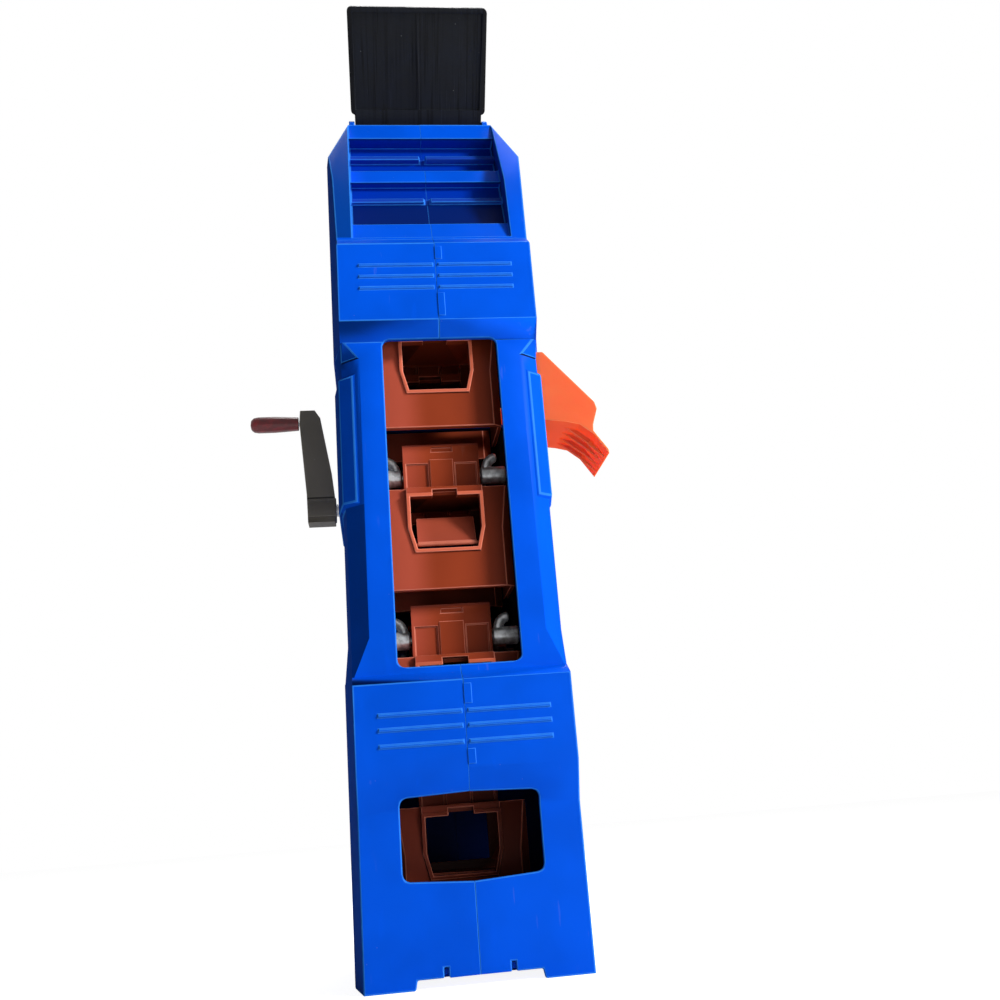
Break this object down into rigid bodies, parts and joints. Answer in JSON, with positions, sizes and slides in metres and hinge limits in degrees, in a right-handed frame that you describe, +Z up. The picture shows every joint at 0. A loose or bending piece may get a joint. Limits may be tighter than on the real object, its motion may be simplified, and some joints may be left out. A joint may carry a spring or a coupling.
{
  "type": "toy parking garage with lift",
  "caption": "Narrow toy parking tower: blue two-part housing, belt-driven loop of hanging orange car carriers, side crank, side chute and a folding landing deck.",
  "frame": {"origin": "on the floor, on the seam between the halves, below the middle plane of the lift loop; it lies on the base plate", "axes": "+Z up along the tower; front with the windows towards -Y; chute towards +X and crank towards -X"},
  "size_m": [0.2209, 0.1361, 0.6112],
  "materials": {
    "blue_plastic": "satin",
    "orange_plastic": "satin",
    "grey_plastic": "satin",
    "black_plastic": "matt, lightly scratched",
    "arm_plastic": "satin",
    "grip_plastic": "gloss",
    "pale_plastic": "satin",
    "belt_rubber": "matt",
    "steel": "plain"
  },
  "bodies": {
    "housing": {"shell_left": "blue_plastic", "shell_right": "blue_plastic", "base_plate": "blue_plastic", "shell_screw_1": "steel", "shell_screw_2": "steel", "shell_screw_3": "steel", "shell_screw_4": "steel", "base_screw_left": "steel", "base_screw_right": "steel", "belt": "belt_rubber", "axle_top": "steel", "axle_bottom": "steel", "shaft_bush": "pale_plastic", "guide_track": "black_plastic", "chute": "orange_plastic", "deck_rod": "steel"},
    "crank": {"drive_shaft": "steel", "pulley_middle": "pale_plastic", "crank_arm": "arm_plastic", "grip_pin": "steel"},
    "grip": {"crank_grip": "grip_plastic"},
    "wheel_top": {"pulley_top": "pale_plastic"},
    "wheel_bottom": {"pulley_bottom": "pale_plastic"},
    "front_run": {"carrier_front_low": "orange_plastic", "link_left_front_low": "grey_plastic", "link_right_front_low": "grey_plastic", "hanger_axle_front_low": "grey_plastic", "carrier_front_middle": "orange_plastic", "link_left_front_middle": "grey_plastic", "link_right_front_middle": "grey_plastic", "hanger_axle_front_middle": "grey_plastic", "carrier_front_high": "orange_plastic", "link_left_front_high": "grey_plastic", "link_right_front_high": "grey_plastic", "hanger_axle_front_high": "grey_plastic"},
    "back_run": {"carrier_back_low": "orange_plastic", "link_left_back_low": "grey_plastic", "link_right_back_low": "grey_plastic", "hanger_axle_back_low": "grey_plastic", "carrier_back_middle": "orange_plastic", "link_left_back_middle": "grey_plastic", "link_right_back_middle": "grey_plastic", "hanger_axle_back_middle": "grey_plastic", "carrier_back_high": "orange_plastic", "link_left_back_high": "grey_plastic", "link_right_back_high": "grey_plastic", "hanger_axle_back_high": "grey_plastic"},
    "top_arm": {"hanger_axle_top": "grey_plastic"},
    "top_carrier": {"carrier_top": "orange_plastic", "link_left_top": "grey_plastic", "link_right_top": "grey_plastic"},
    "bottom_arm": {"hanger_axle_bottom": "grey_plastic"},
    "bottom_carrier": {"carrier_bottom": "orange_plastic", "link_left_bottom": "grey_plastic", "link_right_bottom": "grey_plastic"},
    "stop_flap": {"stop_flap": "orange_plastic"},
    "deck": {"deck_flap": "black_plastic"}
  },
  "joints": [
    {"name": "crank_turn", "type": "hinge", "parent": "housing", "child": "crank", "pos_m": [0, 0, 0.275], "axis": [-1, 0, 0], "range_deg": [-90, 90]},
    {"name": "grip_spin", "type": "hinge", "parent": "crank", "child": "grip", "pos_m": [-0.1, 0, 0.3345], "axis": [1, 0, 0], "continuous": true},
    {"name": "wheel_top_turn", "type": "hinge", "parent": "housing", "child": "wheel_top", "pos_m": [0, 0, 0.434], "axis": [-1, 0, 0], "range_deg": [-90, 90]},
    {"name": "wheel_bottom_turn", "type": "hinge", "parent": "housing", "child": "wheel_bottom", "pos_m": [0, 0, 0.134], "axis": [-1, 0, 0], "range_deg": [-90, 90]},
    {"name": "front_lift", "type": "slide", "parent": "housing", "child": "front_run", "axis": [0, 0, 1], "range_m": [-0.05, 0.05]},
    {"name": "back_lift", "type": "slide", "parent": "housing", "child": "back_run", "axis": [0, 0, -1], "range_m": [-0.05, 0.05]},
    {"name": "top_swing", "type": "hinge", "parent": "housing", "child": "top_arm", "pos_m": [0, 0, 0.434], "axis": [-1, 0, 0], "range_deg": [-90, 90]},
    {"name": "top_level", "type": "hinge", "parent": "top_arm", "child": "top_carrier", "pos_m": [-0.002, 0, 0.46583], "axis": [-1, 0, 0], "range_deg": [-90, 90]},
    {"name": "bottom_swing", "type": "hinge", "parent": "housing", "child": "bottom_arm", "pos_m": [0, 0, 0.134], "axis": [-1, 0, 0], "range_deg": [-90, 90]},
    {"name": "bottom_level", "type": "hinge", "parent": "bottom_arm", "child": "bottom_carrier", "pos_m": [-0.002, 0, 0.10217], "axis": [-1, 0, 0], "range_deg": [-90, 90]},
    {"name": "stop_flap_fold", "type": "hinge", "parent": "front_run", "child": "stop_flap", "pos_m": [-0.002, -0.04903, 0.2376], "axis": [-1, 0, 0], "range_deg": [0, 60]},
    {"name": "deck_fold", "type": "hinge", "parent": "housing", "child": "deck", "pos_m": [0, -0.002, 0.558], "axis": [-1, 0, 0], "range_deg": [0, 135]}
  ],
  "couplings": [
    {"joint": "wheel_top_turn", "follows": "crank_turn", "ratio": 1},
    {"joint": "wheel_bottom_turn", "follows": "crank_turn", "ratio": 1},
    {"joint": "front_lift", "follows": "crank_turn", "m_per_rad": 0.03183},
    {"joint": "back_lift", "follows": "crank_turn", "m_per_rad": 0.03183},
    {"joint": "top_swing", "follows": "crank_turn", "ratio": 1},
    {"joint": "top_level", "follows": "crank_turn", "ratio": -1},
    {"joint": "bottom_swing", "follows": "crank_turn", "ratio": 1},
    {"joint": "bottom_level", "follows": "crank_turn", "ratio": -1}
  ]
}
